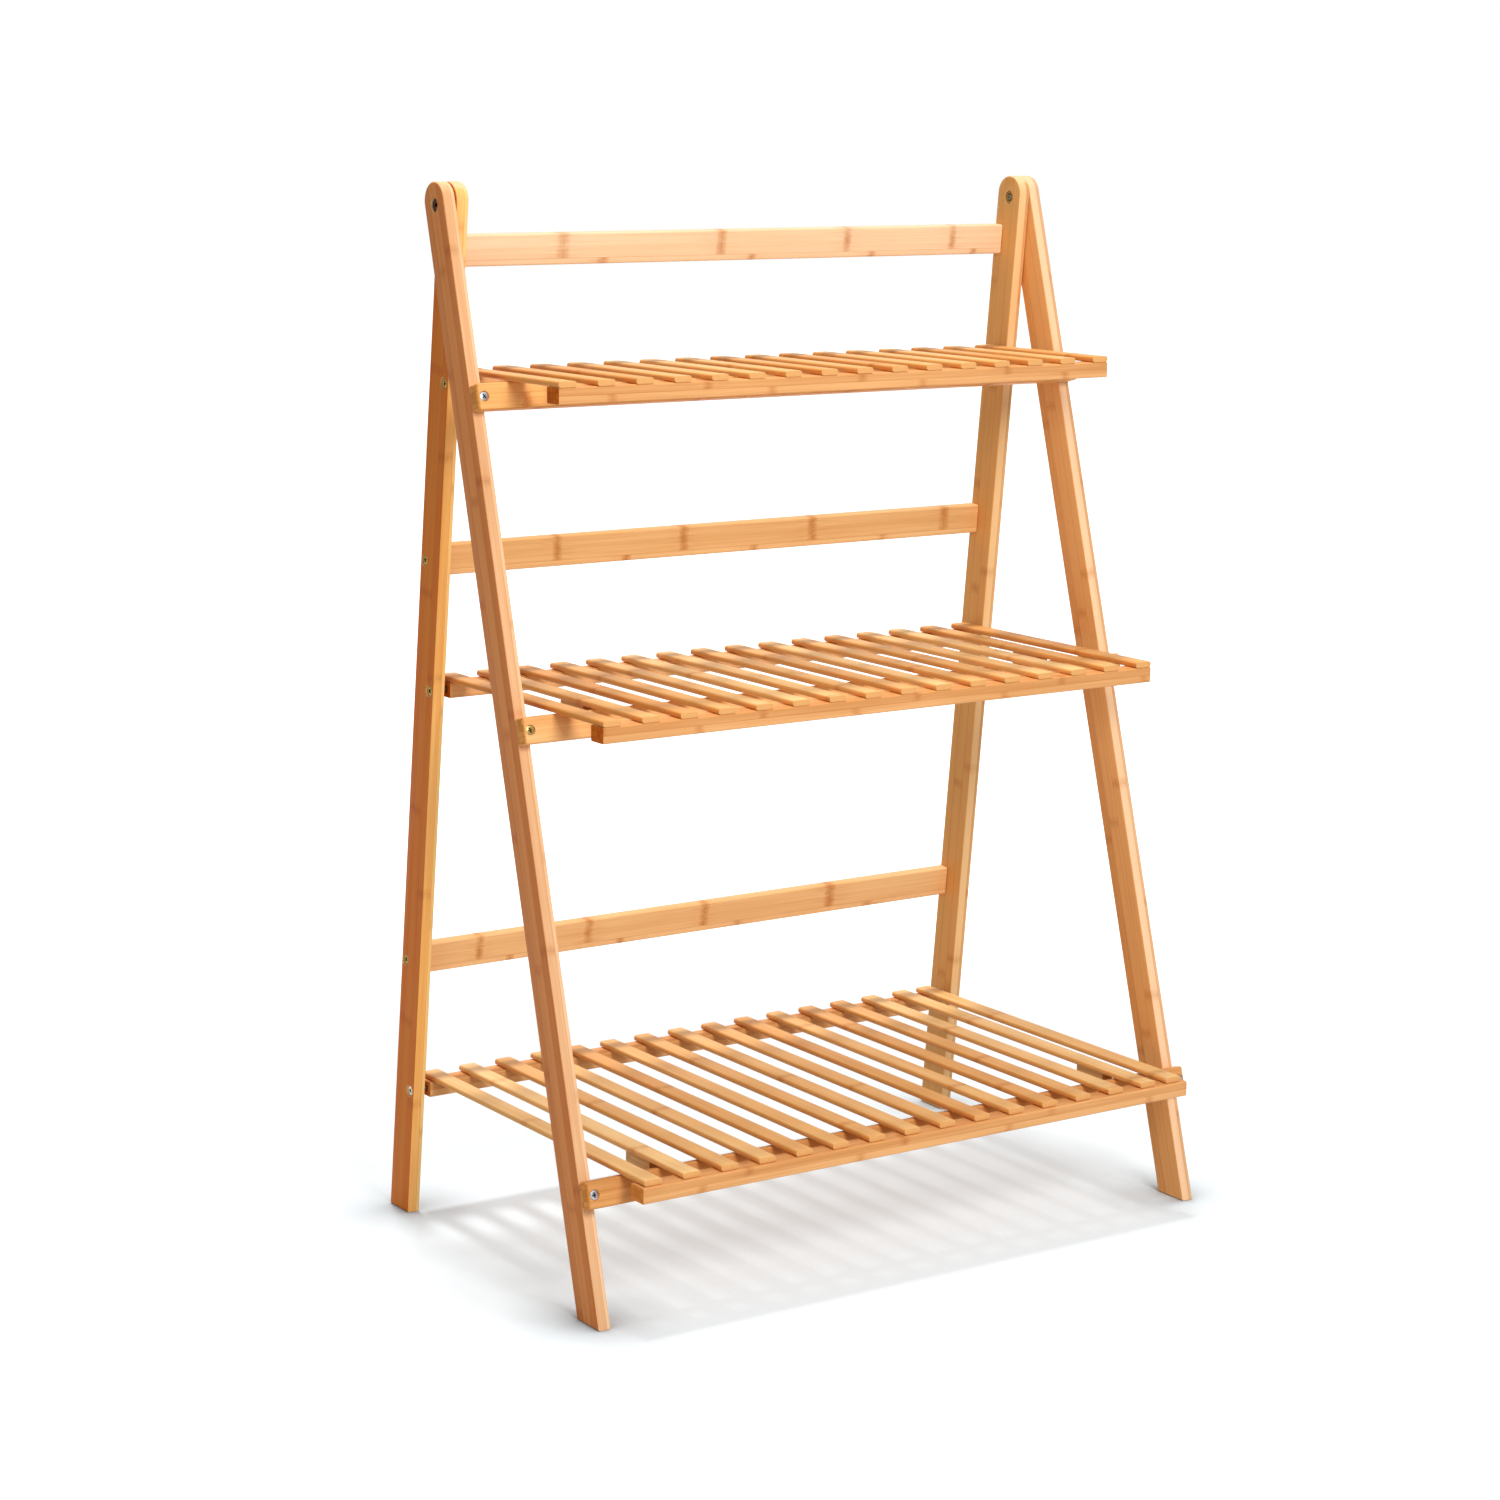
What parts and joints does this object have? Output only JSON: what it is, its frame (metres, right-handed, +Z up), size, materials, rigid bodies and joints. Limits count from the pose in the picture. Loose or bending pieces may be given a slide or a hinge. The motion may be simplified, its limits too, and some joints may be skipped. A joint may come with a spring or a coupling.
{
  "type": "plant stand",
  "caption": "Folding ladder plant stand of bamboo boards: stepped slatted shelves hinged between slanted side legs that close flat.",
  "frame": {"origin": "on the floor, under the middle of the stand's overall width and depth", "axes": "+Z up, -Y out of the front, +X to the right seen from the front"},
  "size_m": [0.672, 0.4114, 0.9646],
  "materials": {
    "leg_bamboo": "satin lacquered bamboo",
    "rail_bamboo": "satin lacquered bamboo",
    "slat_bamboo": "satin lacquered bamboo",
    "bright_steel": "zinc plated",
    "dark_steel": "dark plated",
    "brass": "satin"
  },
  "bodies": {
    "rear_frame": {"rear_leg_left": "leg_bamboo", "hinge_nut_left": "brass", "rear_leg_right": "leg_bamboo", "hinge_nut_right": "brass", "back_rail_top": "rail_bamboo", "back_rail_top_screw_left": "dark_steel", "back_rail_top_screw_right": "dark_steel", "back_rail_mid": "rail_bamboo", "back_rail_mid_screw_left": "dark_steel", "back_rail_mid_screw_right": "dark_steel", "back_rail_low": "rail_bamboo", "back_rail_low_screw_left": "dark_steel", "back_rail_low_screw_right": "dark_steel"},
    "front_frame": {"front_leg_left": "leg_bamboo", "hinge_bolt_left": "dark_steel", "front_leg_right": "leg_bamboo", "hinge_bolt_right": "dark_steel", "cross_rail_top": "rail_bamboo", "cross_rail_top_screw_left": "bright_steel", "cross_rail_top_screw_right": "bright_steel", "cross_rail_mid": "rail_bamboo", "cross_rail_mid_screw_left": "bright_steel", "cross_rail_mid_screw_right": "bright_steel", "cross_rail_low": "rail_bamboo", "cross_rail_low_screw_left": "bright_steel", "cross_rail_low_screw_right": "bright_steel"},
    "shelf_top": {"shelf_top_rear_rail": "rail_bamboo", "shelf_top_pivot_screw_left": "dark_steel", "shelf_top_stop_block_left": "rail_bamboo", "shelf_top_pivot_screw_right": "dark_steel", "shelf_top_stop_block_right": "rail_bamboo", "shelf_top_deck": "slat_bamboo"},
    "shelf_mid": {"shelf_mid_rear_rail": "rail_bamboo", "shelf_mid_pivot_screw_left": "dark_steel", "shelf_mid_stop_block_left": "rail_bamboo", "shelf_mid_pivot_screw_right": "dark_steel", "shelf_mid_stop_block_right": "rail_bamboo", "shelf_mid_deck": "slat_bamboo"},
    "shelf_low": {"shelf_low_rear_rail": "rail_bamboo", "shelf_low_pivot_screw_left": "dark_steel", "shelf_low_stop_block_left": "rail_bamboo", "shelf_low_pivot_screw_right": "dark_steel", "shelf_low_stop_block_right": "rail_bamboo", "shelf_low_front_rail": "rail_bamboo", "shelf_low_slat_01": "slat_bamboo", "shelf_low_slat_02": "slat_bamboo", "shelf_low_slat_03": "slat_bamboo", "shelf_low_slat_04": "slat_bamboo", "shelf_low_slat_05": "slat_bamboo", "shelf_low_slat_06": "slat_bamboo", "shelf_low_slat_07": "slat_bamboo", "shelf_low_slat_08": "slat_bamboo", "shelf_low_slat_09": "slat_bamboo", "shelf_low_slat_10": "slat_bamboo", "shelf_low_slat_11": "slat_bamboo", "shelf_low_slat_12": "slat_bamboo", "shelf_low_slat_13": "slat_bamboo", "shelf_low_slat_14": "slat_bamboo", "shelf_low_slat_15": "slat_bamboo", "shelf_low_slat_16": "slat_bamboo"}
  },
  "joints": [
    {"name": "front_frame_hinge", "type": "hinge", "parent": "rear_frame", "child": "front_frame", "pos_m": [0, 0.09436, 0.944], "axis": [1, 0, 0], "range_deg": [0, 21.2]},
    {"name": "shelf_top_hinge", "type": "hinge", "parent": "rear_frame", "child": "shelf_top", "pos_m": [0, 0.10106, 0.78625], "axis": [-1, 0, 0], "range_deg": [0, 84.3]},
    {"name": "shelf_mid_hinge", "type": "hinge", "parent": "rear_frame", "child": "shelf_mid", "pos_m": [0, 0.12921, 0.50425], "axis": [-1, 0, 0], "range_deg": [0, 75.3]},
    {"name": "shelf_low_hinge", "type": "hinge", "parent": "rear_frame", "child": "shelf_low", "pos_m": [0, 0.16763, 0.11925], "axis": [-1, 0, 0], "range_deg": [0, 77.8]}
  ],
  "couplings": [
    {"joint": "shelf_top_hinge", "follows": "front_frame_hinge", "ratio": 3.9764},
    {"joint": "shelf_mid_hinge", "follows": "front_frame_hinge", "ratio": 3.5518},
    {"joint": "shelf_low_hinge", "follows": "front_frame_hinge", "ratio": 3.6698}
  ]
}
